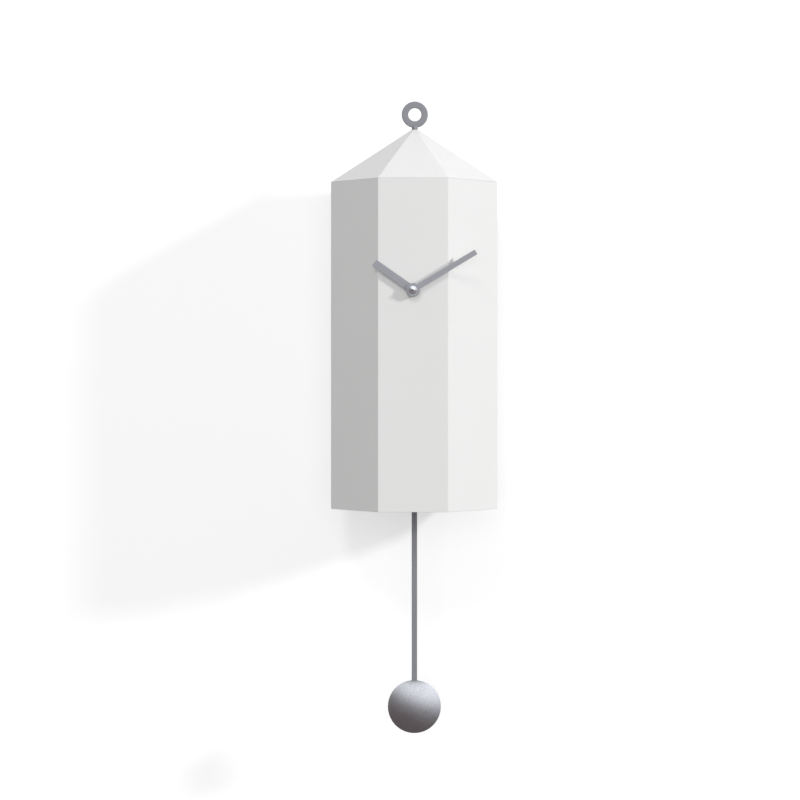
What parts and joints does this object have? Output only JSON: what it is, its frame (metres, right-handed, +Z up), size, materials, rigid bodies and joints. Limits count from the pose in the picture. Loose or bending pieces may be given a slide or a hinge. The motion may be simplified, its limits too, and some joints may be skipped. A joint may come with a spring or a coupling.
{
  "type": "cuckoo clock",
  "caption": "Octagonal wall clock case with a pyramid roof, hanging ring, two baton hands and a swinging disc pendulum.",
  "frame": {"origin": "on the wall plane, on the back panel's outer face, directly behind the hand arbor", "axes": "+Y into the wall, so the dial side faces -Y; +Z up; +X to the right seen from the front"},
  "size_m": [0.15, 0.1596, 0.5751],
  "materials": {
    "case_white": "matt powder coat, fine orange peel",
    "roof_white": "matt powder coat, fine orange peel",
    "hand_grey": "satin grey paint",
    "rod_grey": "darker satin grey paint",
    "bob_grey": "satin metal with fine turning marks",
    "chrome": "polished",
    "steel": "zinc plated, satin",
    "brass": "satin",
    "copper": "lacquered winding wire",
    "black_plastic": "fine spark texture",
    "ivory_plastic": "smooth moulded",
    "board": "solder resist",
    "cell_sleeve": "printed-free plastic sleeve",
    "cone_paper": "felted paper",
    "sensor_lens": "clear smoked moulding"
  },
  "bodies": {
    "case": {"case_shell": "case_white", "roof": "roof_white", "back_panel": "case_white", "hanger_plate": "steel", "base_plate": "case_white", "hanging_ring": "rod_grey", "ring_washer": "steel", "ring_nut": "steel", "fixing_washer": "steel", "fixing_nut": "brass", "movement_housing": "black_plastic", "movement_cover": "black_plastic", "stator": "steel", "motor_coil": "copper", "circuit_board": "board", "pendulum_housing": "black_plastic", "drive_coil": "copper", "pivot_pin": "steel", "clock_cell": "cell_sleeve", "speaker_frame": "steel", "speaker_cone": "cone_paper", "speaker_magnet": "steel", "control_board": "board", "light_sensor": "sensor_lens", "battery_holder": "black_plastic", "sound_cell_1": "cell_sleeve", "sound_cell_2": "cell_sleeve", "contact_top": "steel", "contact_bottom": "steel", "back_screw_1": "steel", "base_screw_1": "steel", "back_screw_2": "steel", "base_screw_2": "steel", "back_screw_3": "steel", "base_screw_3": "steel", "back_screw_4": "steel", "base_screw_4": "steel", "board_screw_1": "steel", "board_screw_2": "steel"},
    "minute": {"minute_hand": "hand_grey", "cap_nut": "chrome", "centre_wheel": "brass"},
    "hour": {"hour_hand": "hand_grey", "hour_wheel": "ivory_plastic"},
    "motion_wheel": {"minute_wheel": "ivory_plastic"},
    "setting": {"setting_knob": "ivory_plastic"},
    "pendulum": {"swing_arm": "ivory_plastic", "swing_magnet": "steel", "pendulum_rod": "rod_grey", "bob_shell": "bob_grey", "bob_back": "bob_grey", "bob_clip": "steel"},
    "volume": {"volume_knob": "black_plastic"},
    "mode": {"mode_switch": "black_plastic"},
    "test": {"test_button": "black_plastic"},
    "door": {"battery_door": "case_white"}
  },
  "joints": [
    {"name": "minute_turn", "type": "hinge", "parent": "case", "child": "minute", "pos_m": [0, -0.15, 0], "axis": [0, 1, 0], "continuous": true},
    {"name": "hour_turn", "type": "hinge", "parent": "case", "child": "hour", "pos_m": [0, -0.15, 0], "axis": [0, 1, 0], "continuous": true},
    {"name": "motion_turn", "type": "hinge", "parent": "case", "child": "motion_wheel", "pos_m": [0.00849, -0.142, 0.00849], "axis": [0, 1, 0], "continuous": true},
    {"name": "setting_turn", "type": "hinge", "parent": "case", "child": "setting", "pos_m": [0.01768, -0.12, 0.0162], "axis": [0, 1, 0], "continuous": true},
    {"name": "pendulum_swing", "type": "hinge", "parent": "case", "child": "pendulum", "pos_m": [0, -0.098, 0.024], "axis": [0, 1, 0], "range_deg": [-5, 5]},
    {"name": "volume_turn", "type": "hinge", "parent": "case", "child": "volume", "pos_m": [-0.027, -0.12, -0.19], "axis": [0, 0, 1], "range_deg": [-135, 135]},
    {"name": "mode_slide", "type": "slide", "parent": "case", "child": "mode", "axis": [1, 0, 0], "range_m": [-0.003, 0.003]},
    {"name": "test_press", "type": "slide", "parent": "case", "child": "test", "axis": [0, 0, 1], "range_m": [0, 0.0012], "stiffness_N_per_m": 400, "springref_m": -0.001},
    {"name": "door_pull", "type": "slide", "parent": "case", "child": "door", "axis": [0, 1, 0], "range_m": [0, 0.03]}
  ],
  "couplings": [
    {"joint": "hour_turn", "follows": "minute_turn", "ratio": 0.083333},
    {"joint": "motion_turn", "follows": "minute_turn", "ratio": -0.33333},
    {"joint": "setting_turn", "follows": "minute_turn", "ratio": 1}
  ]
}
